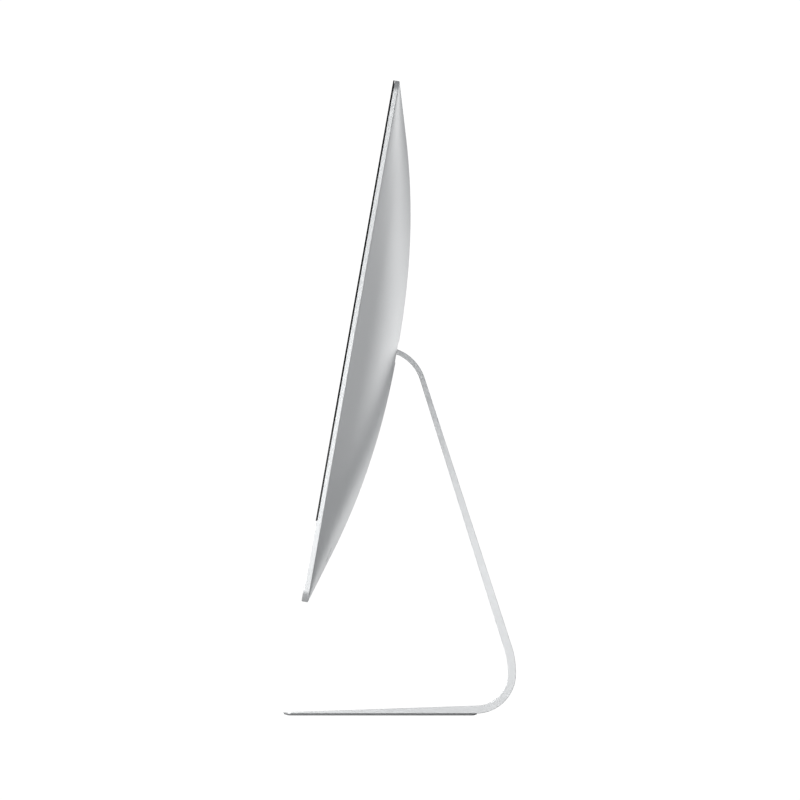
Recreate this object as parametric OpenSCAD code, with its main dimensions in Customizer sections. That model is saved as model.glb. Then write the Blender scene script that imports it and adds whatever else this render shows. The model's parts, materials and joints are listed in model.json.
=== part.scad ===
// All-in-one desktop computer: a thin slab display with a domed rear shell,
// tilting on a friction hinge carried by a bent plate stand.
// Display parts are drawn in the panel's own axes: X across, Y into the depth from the
// front plane, Z up the panel. in_panel() then leans them back on the stand.

/* [Display] */
// Width of the display
panel_w = 528; // [500:1:560]
// Height of the display, measured along the panel
panel_h = 377; // [360:1:390]
// Height of the metal chin under the glass
chin_h = 58; // [50:1:66]
// Thickness of the edge all round
edge_t = 4.5; // [4.4:0.1:5]
// How far the rear dome rises above the edge
bulge = 32; // [31:0.5:36]
// Radius of the four corners in front view
corner_r = 8; // [5:0.5:12]
// Wall of the rear shell
wall = 1.6; // [1.5:0.1:1.8]
// Lean of the panel at rest, in degrees from upright
lean = 10; // [8:0.5:12]

/* [Stand] */
// Width of the stand plate
stand_w = 176; // [160:1:180]
// Depth of the foot and stand together
stand_d = 166; // [160:1:175]
// Angle of the upright's rear face, in degrees from upright
rear_angle = 18; // [17.8:0.1:18.4]
// Angle of the upright's front face, in degrees from upright
front_angle = 17.4; // [17:0.1:17.6]
// Radius of the hole for the mains lead
lead_hole_r = 18; // [14:0.5:22]
// Thickness of the pad under the foot
pad_t = 1.4; // [1:0.1:2]

/* [Hinge] */
// Radius of the hinge shaft
shaft_r = 5; // [4:0.1:5.5]
// Radial running clearance of the shaft in its brackets
run_gap = 0.05; // [0.02:0.01:0.1]

/* [Hidden] */
$fn = 48;
eps = 0.01;

// Where the panel's bottom front edge stands.
panel_y = -70;
panel_z = 81.4;

// Shell: straight tapers at the edges that run into a flattening arc.
taper_x = 28;
taper_s = 38;
power_x = 3;
power_s = 1.2;
rim_w = 9;
chin_wall = 2.6;
ledge_h = 8;
floor_wall = 6;

// Glass and display stack, as depths from the front plane.
glass_t = 1.1;
rim_t = 1.35;
lcd_back = 2.7;
light_back = 4.9;
view_mid = (panel_h + chin_h) / 2;
lcd_w = 487;
lcd_h = 278;

// Hinge axis, in the panel's axes.
hinge_s = 190;
hinge_t = 20.3;
slot_s = hinge_s - 3.6;
slot_h = 14.6;
slot_w = stand_w + 3;
bracket_x = 95;
bracket_t = 4;
flange_w = 22;
flange_t = 2.5;
flange_y = 24.5;

// Boards.
board_y = 8;
board_t = 1.6;
board_top = board_y + board_t;
tray_y = 7.2;

// Blower, sending its air up through the fins and out under the neck.
fan_s = 108;
fan_y = 9;
fan_t = 11.5;
fan_half = 38;
fan_top = fan_s + fan_half;
rotor_r = 31;
fin_s = fan_top + 1.5;
fin_h = 13;
duct_s = fin_s + fin_h + 0.2;

// Rear openings.
window_s = 285;
window_r = 24;
inlet_s = 55;
inlet_r = 12;
inlet_end = 16.8;
button_x = 205;
button_s = 36;
button_r = 5;
socket_s = 62;
vent_s = 166;
vent_h = 10;
wide_x = [-184, -172, -160, -148];
small_x = [-137, -127];
card_x = -196;
audio_x = -206;
network_x = -112;

// Screw places, across and up the panel.
logic_at = [[-208, 104], [-208, 284], [-110, 284], [-110, 140], [-196, 160]];
supply_at = [[113, 89], [113, 275], [201, 89], [201, 275]];
fan_at = [[-34, 75], [34, 75], [-34, 141], [34, 141]];
hinge_at = [[110, 172], [110, 208], [-110, 172], [-110, 208]];
antenna_at = [[-33, 285], [33, 285]];

// Hinge axis on the stand, and the way the neck leaves it.
axis_y = panel_y + hinge_s * sin(lean) + hinge_t * cos(lean);
axis_z = panel_z + hinge_s * cos(lean) - hinge_t * sin(lean);
neck_drop = 21.4;
neck_t = 3.6;
lip_r = 12.3;
lip_t = 7.2;

// Stand outline.
outer_y = 96.02;
inner_y = 89.33;
foot_top = 5.12;
foot_rise = 0.0345;

// Height of the dome's rise at distance d in from an edge.
function rise(d, half, taper, power) =
    let (run = (half - taper) / (power + 1), slope = bulge / (taper + run))
    d <= taper ? slope * d
               : slope * (taper + run * (1 - pow(1 - (d - taper) / (half - taper), power + 1)));
// Depth of the outer skin at a place on the panel.
function skin(x, s) =
    let (f = rise(max(0, panel_w / 2 - abs(x)), panel_w / 2, taper_x, power_x) / bulge,
         g = rise(max(0, panel_h / 2 - abs(s - panel_h / 2)), panel_h / 2, taper_s, power_s) / bulge)
    edge_t + (f * g == 0 ? 0 : bulge * f * g / (f + g - f * g));
// n + 1 places from a to b, closer together near both ends.
function spaced(a, b, n) = [for (i = [0:n]) (a + b) / 2 + (b - a) / 2 * sin(90 * (2 * i / n - 1))];

// Solid between a flat front and the skin, or the skin moved in by inset.
module dome(x0, x1, s0, s1, front, inset, nx, ns) {
    xs = spaced(x0, x1, nx);
    ss = spaced(s0, s1, ns);
    loop = concat(
        [for (j = [0:ns]) [0, j]],
        [for (i = [1:nx]) [i, ns]],
        [for (j = [ns - 1:-1:0]) [nx, j]],
        [for (i = [nx - 1:-1:1]) [i, 0]]);
    n = len(loop);
    grid = (nx + 1) * (ns + 1);
    back = [for (i = [0:nx]) for (j = [0:ns]) [xs[i], skin(xs[i], ss[j]) - inset, ss[j]]];
    fore = [for (p = loop) [xs[p[0]], front, ss[p[1]]]];
    at = [for (p = loop) p[0] * (ns + 1) + p[1]];
    faces = concat(
        [for (i = [0:nx - 1]) for (j = [0:ns - 1])
            [(i + 1) * (ns + 1) + j, (i + 1) * (ns + 1) + j + 1, i * (ns + 1) + j + 1]],
        [for (i = [0:nx - 1]) for (j = [0:ns - 1])
            [(i + 1) * (ns + 1) + j, i * (ns + 1) + j + 1, i * (ns + 1) + j]],
        [[for (k = [0:n - 1]) grid + k]],
        [for (k = [0:n - 1]) [grid + (k + 1) % n, grid + k, at[k], at[(k + 1) % n]]]);
    polyhedron(points = concat(back, fore), faces = faces, convexity = 4);
}

// Leaves the size alone and keeps a domed piece in one mesh.
module one_mesh() resize([0, 0, 0]) children();

// Rectangle with round corners, from its lowest corner.
module round_rect(w, h, r) {
    if (r <= 0) {
        square([w, h]);
    } else {
        translate([r, 0]) square([w - 2 * r, h]);
        translate([0, r]) square([w, h - 2 * r]);
        for (x = [r, w - r]) for (y = [r, h - r]) translate([x, y]) circle(r);
    }
}
// Flat piece parallel to the panel.
module slab(x0, x1, s0, s1, y0, y1, r = 0) {
    translate([x0, y1, s0]) rotate([90, 0, 0]) linear_extrude(y1 - y0) round_rect(x1 - x0, s1 - s0, r);
}
// Round piece square to the panel.
module peg(x, s, y0, y1, r) {
    translate([x, y1, s]) rotate([90, 0, 0]) cylinder(h = y1 - y0, r = r);
}
// Ring square to the panel.
module ring(x, s, y0, y1, outer, inner) {
    difference() {
        peg(x, s, y0, y1, outer);
        peg(x, s, y0 - 1, y1 + 1, inner);
    }
}
// Pan-head screw that enters along +Y, its head's underside at y.
module screw(x, s, y, long, r = 1.2, head = 2.4) {
    peg(x, s, y - 1.4, y, head);
    peg(x, s, y - eps, y + long, r);
}
module in_panel() {
    translate([0, panel_y, panel_z]) rotate([-lean, 0, 0]) children();
}
module mirrored() {
    children();
    mirror([1, 0, 0]) children();
}

// Port shell open to the rear, standing on the board.
module port(x, s, w, h, end, t = 0.5) {
    difference() {
        slab(x - w / 2, x + w / 2, s, s + h, board_top, end);
        slab(x - w / 2 + t, x + w / 2 - t, s + t, s + h - t, board_top + 1.5, end + 1);
    }
}
// How far a port may reach without standing proud of the skin.
function port_end(x, s, w) = min(skin(x - w / 2, s), skin(x + w / 2, s)) - 0.3;

// Smooth route through the given points, and a tube swept along it.
function bezier(a, b, c, t) = a * (1 - t) * (1 - t) + b * 2 * t * (1 - t) + c * t * t;
function route(p, n = 4) = concat(
    [p[0]],
    [for (i = [1:len(p) - 2]) for (k = [0:n])
        bezier((p[i - 1] + p[i]) / 2, p[i], (p[i] + p[i + 1]) / 2, k / n)],
    [p[len(p) - 1]]);
function unit(v) = v / norm(v);
module tube(p, r, sides = 8) {
    n = len(p);
    way = [for (i = [0:n - 1]) unit(p[min(i + 1, n - 1)] - p[max(i - 1, 0)])];
    side = [for (w = way) unit(cross(w, abs(w[1]) < 0.9 ? [0, 1, 0] : [1, 0, 0]))];
    rings = [for (i = [0:n - 1]) for (k = [0:sides - 1])
        p[i] + r * (cos(360 * k / sides) * side[i] + sin(360 * k / sides) * cross(way[i], side[i]))];
    walls = [for (i = [0:n - 2]) for (k = [0:sides - 1])
        [i * sides + k, i * sides + (k + 1) % sides,
         (i + 1) * sides + (k + 1) % sides, (i + 1) * sides + k]];
    polyhedron(
        points = rings,
        faces = concat(walls, [[for (k = [sides - 1:-1:0]) k]], [[for (k = [0:sides - 1]) (n - 1) * sides + k]]),
        convexity = 6);
}

// Places where the shell keeps solid posts inside its cavity.
module posts() {
    $fn = 16;
    for (p = logic_at) peg(p[0], p[1], board_top, 50, 3.2);
    for (p = supply_at) peg(p[0], p[1], board_top, 50, 3.2);
    for (p = fan_at) peg(p[0], p[1], fan_y + fan_t, 50, 3);
    for (p = hinge_at) peg(p[0], p[1], flange_y + flange_t, 50, 4.5);
    for (p = antenna_at) peg(p[0], p[1], 22, 50, 3.5);
    peg(button_x, button_s, 7.2, 50, 8.5);
}
module post_holes() {
    $fn = 16;
    for (p = logic_at) peg(p[0], p[1], board_top - 1, board_top + 2.5, 1.26);
    for (p = supply_at) peg(p[0], p[1], board_top - 1, board_top + 2.5, 1.26);
    for (p = fan_at) peg(p[0], p[1], fan_y, fan_y + fan_t + 2.1, 1.26);
    for (p = hinge_at) peg(p[0], p[1], flange_y, flange_y + flange_t + 2.7, 2.08);
}
module socket_holes(g = 0.15) {
    for (x = wide_x) slab(x - 3.3 - g, x + 3.3 + g, socket_s - g, socket_s + 13.5 + g, board_top, 50);
    for (x = small_x) slab(x - 2.9 - g, x + 2.9 + g, socket_s + 2 - g, socket_s + 10.5 + g, board_top, 50);
    slab(card_x - 1.9 - g, card_x + 1.9 + g, socket_s - g, socket_s + 25 + g, board_top, 50);
    slab(network_x - 7 - g, network_x + 7 + g, socket_s - g, socket_s + 14 + g, board_top, 50);
    peg(audio_x, socket_s + 6, board_top, 50, 3.6 + g);
}
module bottom_slots() {
    for (x = [-180:12:-72]) slab(x - 4, x + 4, -1, floor_wall + 1, 2.9, 4.1);
    for (x = [-48:12:48]) slab(x - 4, x + 4, -1, floor_wall + 1, 2.9, 4.1);
    for (x = [72:12:180]) slab(x - 4, x + 4, -1, floor_wall + 1, 2.9, 4.1);
}
module rear_shell() color([0.80, 0.81, 0.82]) in_panel() one_mesh() difference() {
    intersection() {
        dome(-panel_w / 2, panel_w / 2, 0, panel_h, 0, 0, 30, 24);
        slab(-panel_w / 2, panel_w / 2, 0, panel_h, -1, 50, corner_r);
    }
    slab(-panel_w, panel_w, chin_h, panel_h + 1, -1, rim_t);
    difference() {
        union() {
            dome(rim_w - panel_w / 2, panel_w / 2 - rim_w, floor_wall, panel_h - rim_w, chin_wall, wall, 24, 18);
            slab(rim_w - panel_w / 2, panel_w / 2 - rim_w, chin_h + ledge_h, panel_h - rim_w, 0, chin_wall + 1);
        }
        posts();
    }
    post_holes();
    slab(-slot_w / 2, slot_w / 2, slot_s - slot_h / 2, slot_s + slot_h / 2, 20, 50, 3);
    for (i = [-5:5]) slab(i * 6.4 - 2.2, i * 6.4 + 2.2, vent_s - vent_h / 2, vent_s + vent_h / 2, 20, 50);
    peg(0, window_s, 10, 50, window_r + 0.1);
    peg(0, inlet_s, 10, 50, inlet_r + 0.15);
    peg(button_x, button_s, 5, 50, button_r + 0.3);
    socket_holes();
    bottom_slots();
}
module front_glass() color([0.05, 0.05, 0.06]) in_panel() difference() {
    slab(-panel_w / 2, panel_w / 2, 0, panel_h, 0, glass_t, corner_r);
    slab(-panel_w, panel_w, -1, chin_h + 0.1, -1, 2);
}
module glass_bond() color([0.12, 0.12, 0.12]) in_panel() difference() {
    slab(2 - panel_w / 2, panel_w / 2 - 2, chin_h + 1, panel_h - 2, glass_t, rim_t, 6);
    slab(rim_w + 0.5 - panel_w / 2, panel_w / 2 - rim_w - 0.5, chin_h + ledge_h + 0.5, panel_h - rim_w - 0.5, 0, 3);
}
module lcd_cell() color([0.08, 0.09, 0.11]) in_panel()
    slab(-lcd_w / 2, lcd_w / 2, view_mid - lcd_h / 2, view_mid + lcd_h / 2, glass_t, lcd_back);
module backlight_unit() color([0.72, 0.73, 0.75]) in_panel() difference() {
    slab(-lcd_w / 2 - 2, lcd_w / 2 + 2, view_mid - lcd_h / 2 - 2, view_mid + lcd_h / 2 + 2, lcd_back, light_back);
    for (s = [110:40:330]) slab(-230, 230, s, s + 20, light_back - 0.5, 6);
}
module camera_module() color([0.1, 0.1, 0.11]) in_panel() {
    difference() {
        slab(-12, 12, 360.5, 367, glass_t, 3.6);
        peg(0, 363.8, glass_t - 1, 2.4, 1.2);
    }
    slab(-5, 5, 360.5, 367, 3.6, 5);
}
module microphones() color([0.6, 0.6, 0.55]) in_panel() {
    for (x = [-70, 70]) slab(x - 2, x + 2, 361, 365, glass_t, 2.6);
}
module antenna_window() color([0.09, 0.09, 0.1]) in_panel() one_mesh() difference() {
    union() {
        intersection() {
            dome(-30, 30, 255, 315, 15, 0, 6, 10);
            peg(0, window_s, 10, 50, window_r);
        }
        intersection() {
            dome(-31, 31, 254, 316, 15, wall + 0.4, 6, 10);
            peg(0, window_s, 10, 50, window_r + 2.5);
        }
    }
    dome(-32, 32, 253, 317, 14, wall + 1.4, 6, 10);
}
module antennas() color([0.75, 0.6, 0.3]) in_panel() {
    mirrored() slab(6, 38, 279, 291, 20.8, 22, 2);
}
module wireless_card() color([0.1, 0.35, 0.2]) in_panel() {
    slab(-126, -106, 250, 278, 11.6, 12.6);
    slab(-126, -106, 246, 250, board_top, 13.2);
    slab(-122, -110, 254, 268, 12.6, 14);
}
module logic_board() color([0.08, 0.3, 0.22]) in_panel() difference() {
    union() {
        slab(-214, -104, 61, 292, board_y, board_top, 3);
        for (s = [176:8:200]) slab(-194, -188, s, s + 5, board_top, 12.4);
        for (x = [-137, -129, -121]) peg(x, 240, board_top, 13.5, 3);
        slab(-212, -206, 200, 224, board_top, 12);
        slab(-150, -130, 284, 290, board_top, 11.4);
    }
    for (p = logic_at) peg(p[0], p[1], board_y - 1, board_top + 1, 1.2);
}
module processor() color([0.5, 0.52, 0.55]) in_panel() {
    slab(-181, -143, 173, 211, board_top, 10.5);
    slab(-174, -150, 180, 204, 10.5, 11.4);
}
module graphics_chip() color([0.35, 0.36, 0.4]) in_panel() {
    slab(-176, -148, 226, 254, board_top, 10.4);
    slab(-169, -155, 233, 247, 10.4, 11.4);
}
module memory_sockets() color([0.85, 0.83, 0.75]) in_panel() {
    slab(-188, -116, 94, 99.5, board_top, 15.4);
    for (x = [-188, -119]) slab(x, x + 3, 99.5, 128, board_top, 10.4);
}
module memory_modules() color([0.08, 0.4, 0.25]) in_panel() {
    for (y = [10.8, 13.4]) {
        slab(-185.5, -118.5, 99.5, 129.5, y, y + 0.9);
        for (x = [-182, -166, -150, -134]) slab(x, x + 12, 106, 120, y + 0.9, y + 1.9);
    }
}
module coin_cell() color([0.8, 0.8, 0.82]) in_panel() {
    peg(-206, 245, board_top, 12.6, 10 * 0.78);
}
module heat_spreader() color([0.75, 0.5, 0.35]) in_panel()
    slab(-184, -142, 172, 258, 11.4, 12.9, 2);
module heat_pipe() color([0.8, 0.5, 0.3]) in_panel() {
    slab(-166, -158, 168, 256, 12.9, 15.9);
    slab(-147, 36, 149, 157, 12.9, 15.9);
    translate([-147, 15.9, 168]) rotate([90, 0, 0]) rotate([0, 0, 180])
        rotate_extrude(angle = 90) translate([11, 0]) square([8, 3]);
}
module fin_stack() color([0.78, 0.79, 0.8]) in_panel() difference() {
    union() {
        for (x = [-36:3:36]) slab(x - 0.25, x + 0.25, fin_s, fin_s + fin_h, fan_y, fan_y + fan_t);
        slab(-36.25, 36.25, fin_s, fin_s + fin_h, fan_y, fan_y + 0.6);
        slab(-36.25, 36.25, fin_s, fin_s + fin_h, fan_y + fan_t - 0.6, fan_y + fan_t);
    }
    slab(-40, 36, 149, 157, 12.9, 15.9);
}
module exhaust_duct() color([0.12, 0.12, 0.13]) in_panel() difference() {
    slab(-38, 38, duct_s, 173, fan_y, 31.5);
    slab(-37, 37, duct_s - 1, 172, fan_y + 1, fan_y + fan_t - 1);
    slab(-37, 37, duct_s + 1, 172, fan_y + 1, 32);
}
module fan_base() color([0.13, 0.13, 0.14]) in_panel() difference() {
    slab(-fan_half, fan_half, fan_s - fan_half, fan_top, fan_y, fan_y + fan_t - 1, 5);
    peg(0, fan_s, fan_y + 1, 40, rotor_r + 1.5);
    slab(-rotor_r, rotor_r, fan_s, fan_top + 1, fan_y + 1, 40);
    for (p = fan_at) peg(p[0], p[1], 0, 40, 1.2);
}
module fan_cover() color([0.7, 0.71, 0.72]) in_panel() difference() {
    slab(-fan_half, fan_half, fan_s - fan_half, fan_top, fan_y + fan_t - 1, fan_y + fan_t, 5);
    peg(0, fan_s, 0, 40, 20);
    for (p = fan_at) peg(p[0], p[1], 0, 40, 1.2);
}
module fan_stator() color([0.7, 0.42, 0.2]) in_panel() {
    difference() {
        union() {
            peg(0, fan_s, fan_y + 1, fan_y + 1.6, 11);
            peg(0, fan_s, fan_y + 1, fan_y + 7, 2.8);
            for (a = [0:60:300]) translate([0, 0, fan_s]) rotate([0, a, 0]) slab(2, 9.5, -1.5, 1.5, fan_y + 2.4, fan_y + 5.4);
        }
        peg(0, fan_s, fan_y, fan_y + 9, 1.53);
    }
}
module fan_shaft() color([0.85, 0.85, 0.86]) in_panel()
    peg(0, fan_s, fan_y + 1.3, fan_y + 8, 1.5);
module fan_impeller() color([0.18, 0.18, 0.19]) in_panel() difference() {
    union() {
        peg(0, fan_s, fan_y + 2, fan_y + 9.5, 13);
        ring(0, fan_s, fan_y + 2, fan_y + 3, rotor_r - 1, 20.5);
        for (a = [0:20:340]) translate([0, 0, fan_s]) rotate([0, a, 0]) translate([12, 0, 0])
            rotate([0, 20, 0]) slab(0.3, 17, -0.4, 0.4, fan_y + 2.4, fan_y + 9);
    }
    peg(0, fan_s, fan_y, fan_y + 7.6, 11.5);
    peg(0, fan_s, fan_y, fan_y + 8, 1.5);
}
module supply_board() color([0.1, 0.28, 0.16]) in_panel() difference() {
    union() {
        slab(107, 207, 83, 281, board_y, board_top, 2);
        slab(160, 200, 150, 176, board_top, 18);
        slab(112, 122, 216, 236, board_top, 14);
        slab(150, 166, 90, 106, board_top, 16);
    }
    for (p = supply_at) peg(p[0], p[1], 0, 20, 1.2);
}
module supply_transformer() color([0.72, 0.6, 0.25]) in_panel() {
    slab(134, 166, 186, 222, board_top, 13);
    slab(138, 162, 190, 218, 13, 19);
    slab(134, 166, 186, 222, 19, 21.5);
}
module supply_capacitors() color([0.15, 0.2, 0.35]) in_panel() {
    for (x = [124, 138]) translate([x, board_top + 6, 108]) cylinder(h = 34, r = 6);
    for (x = [176, 190]) for (s = [196, 212, 228]) peg(x, s, board_top, 15.6, 5);
}
module supply_tray() color([0.15, 0.15, 0.15]) in_panel() difference() {
    union() {
        slab(105, 209, 81, 283, tray_y, board_y, 2);
        for (x = [105, 208.2]) slab(x, x + 0.8, 84, 280, tray_y, 11.5);
    }
    for (p = supply_at) peg(p[0], p[1], 0, 20, 1.2);
}
module power_inlet() color([0.1, 0.1, 0.1]) in_panel() {
    difference() {
        peg(0, inlet_s, 7, inlet_end, inlet_r);
        ring(0, inlet_s, 9.5, inlet_end + 1, 10, 5);
    }
}
module inlet_pins() color([0.85, 0.8, 0.6]) in_panel() {
    for (a = [90, 210, 330]) translate([7.8 * cos(a), 0, 7.8 * sin(a)]) peg(0, inlet_s, 9.5, inlet_end - 1.5, 1);
}
module audio_jack() color([0.12, 0.12, 0.12]) in_panel()
    ring(audio_x, socket_s + 6, board_top, port_end(audio_x, socket_s + 2.4, 7.2), 3.6, 1.75);
module card_slot() color([0.75, 0.75, 0.76]) in_panel()
    port(card_x, socket_s, 3.8, 25, port_end(card_x, socket_s, 3.8), 0.4);
module wide_sockets() color([0.78, 0.78, 0.8]) in_panel() {
    for (x = wide_x) port(x, socket_s, 6.6, 13.5, port_end(x, socket_s, 6.6));
}
module small_sockets() color([0.78, 0.78, 0.8]) in_panel() {
    for (x = small_x) port(x, socket_s + 2, 5.8, 8.5, port_end(x, socket_s + 2, 5.8));
}
module network_socket() color([0.76, 0.76, 0.78]) in_panel()
    port(network_x, socket_s, 14, 14, port_end(network_x, socket_s, 14), 0.8);
module socket_tongues() color([0.15, 0.15, 0.16]) in_panel() {
    for (x = wide_x) slab(x - 2.2, x - 0.4, socket_s + 1.2, socket_s + 12.3, board_top + 1.5, board_top + 3.5);
    for (x = small_x) slab(x - 0.9, x + 0.9, socket_s + 4, socket_s + 8.5, board_top + 1.5, board_top + 5);
    for (s = [3:1.1:11]) slab(network_x - 4.5, network_x - 3, socket_s + s, socket_s + s + 0.5, board_top + 1.5, board_top + 6);
}
module storage_drive() color([0.2, 0.2, 0.22]) in_panel() {
    slab(-35, 35, 226, 326, 6.2, 13.2, 2);
    slab(-20, 20, 222, 226, 8, 12);
}
module drive_bumpers() color([0.1, 0.1, 0.1]) in_panel() {
    mirrored() for (s = [240, 300]) slab(35, 39, s, s + 14, 6.2, 13.2);
    mirrored() for (s = [240, 300]) slab(22, 39, s, s + 14, 13.2, 14.4);
}
module speaker_box() one_mesh() difference() {
    dome(40, 190, 9, 50, 3.2, wall + 0.5, 10, 6);
    for (x = [150, 90]) peg(x, 30, 2, 7.6, 13);
}
module speaker_left() color([0.14, 0.14, 0.15]) in_panel() mirror([1, 0, 0]) speaker_box();
module speaker_right() color([0.14, 0.14, 0.15]) in_panel() speaker_box();
module speaker_drivers() color([0.22, 0.22, 0.23]) in_panel() mirrored() for (x = [150, 90]) {
    difference() {
        peg(x, 30, 3.2, 7.6, 12.85);
        translate([x, 3.1, 30]) rotate([-90, 0, 0]) cylinder(h = 2.2, r1 = 11, r2 = 5);
    }
}
module power_button() color([0.82, 0.83, 0.84]) in_panel() one_mesh() {
    intersection() {
        peg(button_x, button_s, 6, 50, button_r);
        dome(button_x - 6, button_x + 6, button_s - 6, button_s + 6, 5, 0.2, 4, 4);
    }
    peg(button_x, button_s, 5.8, 6.8, button_r + 1.2);
}
module power_switch() color([0.2, 0.2, 0.2]) in_panel() {
    slab(button_x - 3, button_x + 3, button_s - 3, button_s + 3, chin_wall, 4.2);
    peg(button_x, button_s, 4.2, 4.5, 1.5);
}
// Round piece lying across the panel on the hinge axis.
module axle(x0, x1, r, sides = 48) {
    translate([x0, hinge_t, hinge_s]) rotate([0, 90, 0]) cylinder(h = x1 - x0, r = r, $fn = sides);
}
module bracket() difference() {
    union() {
        axle(bracket_x, bracket_x + bracket_t, 10);
        slab(bracket_x, bracket_x + bracket_t, 166, 214, flange_y - 6, flange_y + flange_t);
        slab(bracket_x, bracket_x + bracket_t, 180, 200, hinge_t, flange_y + flange_t);
        slab(bracket_x, bracket_x + flange_w, 166, 178, flange_y, flange_y + flange_t);
        slab(bracket_x, bracket_x + flange_w, 202, 214, flange_y, flange_y + flange_t);
    }
    axle(bracket_x - 1, bracket_x + bracket_t + 1, shaft_r + run_gap);
    for (s = [172, 208]) peg(110, s, 0, 50, 2);
}
module hinge_bracket_left() color([0.6, 0.61, 0.63]) in_panel() mirror([1, 0, 0]) bracket();
module hinge_bracket_right() color([0.6, 0.61, 0.63]) in_panel() bracket();
module hinge_screws() color([0.3, 0.3, 0.31]) in_panel() {
    for (p = hinge_at) screw(p[0], p[1], flange_y, flange_t + 2.6, 2, 3.4);
}
module board_screws() color([0.3, 0.3, 0.31]) in_panel() {
    for (p = logic_at) screw(p[0], p[1], board_y, board_t + 2.4);
    for (p = supply_at) screw(p[0], p[1], tray_y, board_top - tray_y + 2.4);
}
module fan_screws() color([0.3, 0.3, 0.31]) in_panel() {
    for (p = fan_at) screw(p[0], p[1], fan_y, fan_t + 2);
}
module display_cable() color([0.15, 0.15, 0.16]) in_panel()
    tube(route([[-170, 8, 292.6], [-170, 7, 304], [-160, 6.4, 312], [-150, 6.2, 300], [-150, 6.2, 280]]), 1);
module supply_cable() color([0.12, 0.12, 0.13]) in_panel() for (k = [0, 3])
    tube(route([[111.8, 13, 221 + k], [103, 13, 219 + k], [88, 8.4, 217 + k], [-60, 8.2, 216 + k],
        [-92, 8.2, 218 + k], [-103.6, 8.8, 226 + k]]), 1.3);
module speaker_cables() color([0.12, 0.12, 0.13]) in_panel() {
    tube(route([[-60, 8, 50.4], [-60, 8, 56], [-80, 7, 58], [-110, 6, 57], [-120, 6, 60.6]]), 0.8);
    tube(route([[60, 8, 50.4], [60, 7, 55], [40, 5, 57], [-40, 5, 57], [-110, 5, 54], [-124, 6, 60.6]]), 0.8);
}
module antenna_cables() color([0.1, 0.1, 0.1]) in_panel() {
    tube(route([[-38.4, 21.4, 284], [-60, 18, 276], [-90, 15, 274], [-105.4, 13, 272]]), 0.6, 6);
    tube(route([[5.4, 21.4, 285], [-2, 20, 272], [-40, 17, 262], [-90, 14, 264], [-105.4, 12.8, 266]]), 0.6, 6);
}
module hinge_shaft() color([0.7, 0.71, 0.72]) in_panel() axle(-107, 107, shaft_r);
module friction_washers() color([0.55, 0.5, 0.4]) in_panel() mirrored() difference() {
    axle(bracket_x + bracket_t + 0.3, bracket_x + bracket_t + 1.8, 8);
    axle(0, 120, shaft_r);
}
module shaft_nuts() color([0.45, 0.46, 0.48]) in_panel() mirrored() difference() {
    axle(bracket_x + bracket_t + 1.8, bracket_x + bracket_t + 6.4, 7.5, 6);
    axle(0, 120, shaft_r);
}
// Stand's own axes at the hinge: Y along the neck to the rear, Z square to the strip.
module on_neck() {
    translate([0, axis_y, axis_z]) rotate([-neck_drop, 0, 0]) children();
}
barrel_at = [-75, -45, -15, 15, 45, 75];
module hinge_barrel() color([0.4, 0.41, 0.43]) difference() {
    on_neck() union() {
        translate([-stand_w / 2, 0, 0]) rotate([0, 90, 0]) cylinder(h = stand_w, r = 8);
        translate([-stand_w / 2, 0, -lip_t / 2]) cube([stand_w, lip_r, lip_t]);
    }
    on_neck() translate([-stand_w, 0, 0]) rotate([0, 90, 0]) cylinder(h = 2 * stand_w, r = shaft_r);
    on_neck() translate([-stand_w, 6.5, -neck_t / 2]) cube([2 * stand_w, 20, neck_t]);
    on_neck() for (x = barrel_at) translate([x, 9.6, -5]) cylinder(h = 20, r = 1.25);
}
module barrel_screws() color([0.3, 0.3, 0.31]) on_neck() for (x = barrel_at) {
    translate([x, 9.6, -lip_t / 2]) cylinder(h = lip_t + 0.01, r = 1.25);
    translate([x, 9.6, lip_t / 2]) cylinder(h = 0.9, r = 2.4);
}
// n + 1 points on a clockwise bend that starts at p, from heading a to heading b below level.
function bend(p, r, a, b, n) = [for (i = [0:n]) let (h = a + (b - a) * i / n)
    p + r * [sin(h) - sin(a), cos(h) - cos(a)]];
module stand_profile() {
    down = [cos(neck_drop), -sin(neck_drop)];
    up = [sin(neck_drop), cos(neck_drop)];
    axis = [axis_y, axis_z];
    // Neck bend, both faces about one middle.
    mid = axis + 16.5 * down - 30.2 * up;
    // Heel bends: a slow one off the upright, then a tight one onto the foot.
    rear_at = [79.96, (outer_y - 79.96) / tan(rear_angle)];
    front_at = [74.63, (inner_y - 74.63) / tan(front_angle)];
    rear_a = bend(rear_at, 60, 90 - rear_angle, 92, 8);
    front_a = bend(front_at, 54, 90 - front_angle, 92, 8);
    rear_r = (rear_a[8][1] - pad_t) / (1 - sin(2));
    foot_a = 180 - atan(foot_rise);
    rise_k = sin(foot_a) - sin(92);
    drop_k = cos(foot_a) - cos(92);
    front_r = (foot_top + foot_rise * front_a[8][0] - front_a[8][1]) / (drop_k - foot_rise * rise_k);
    rear_b = bend(rear_a[8], rear_r, 92, 180, 20);
    front_b = bend(front_a[8], front_r, 92, foot_a, 20);
    tip = -stand_d / 2;
    points = concat(
        [axis + 6.5 * down + neck_t / 2 * up],
        [for (i = [0:16]) mid + 32 * [sin(neck_drop + (90 - rear_angle - neck_drop) * i / 16),
                                      cos(neck_drop + (90 - rear_angle - neck_drop) * i / 16)]],
        rear_a, [for (i = [1:20]) rear_b[i]],
        [[tip + 3.4, pad_t], [tip, pad_t + 0.45], [tip, foot_top + foot_rise * tip]],
        [for (i = [20:-1:1]) front_b[i]], [for (i = [8:-1:0]) front_a[i]],
        [for (i = [16:-1:0]) mid + 28.4 * [sin(neck_drop + (90 - front_angle - neck_drop) * i / 16),
                                         cos(neck_drop + (90 - front_angle - neck_drop) * i / 16)]],
        [axis + 6.5 * down - neck_t / 2 * up]);
    polygon(points);
}
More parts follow.
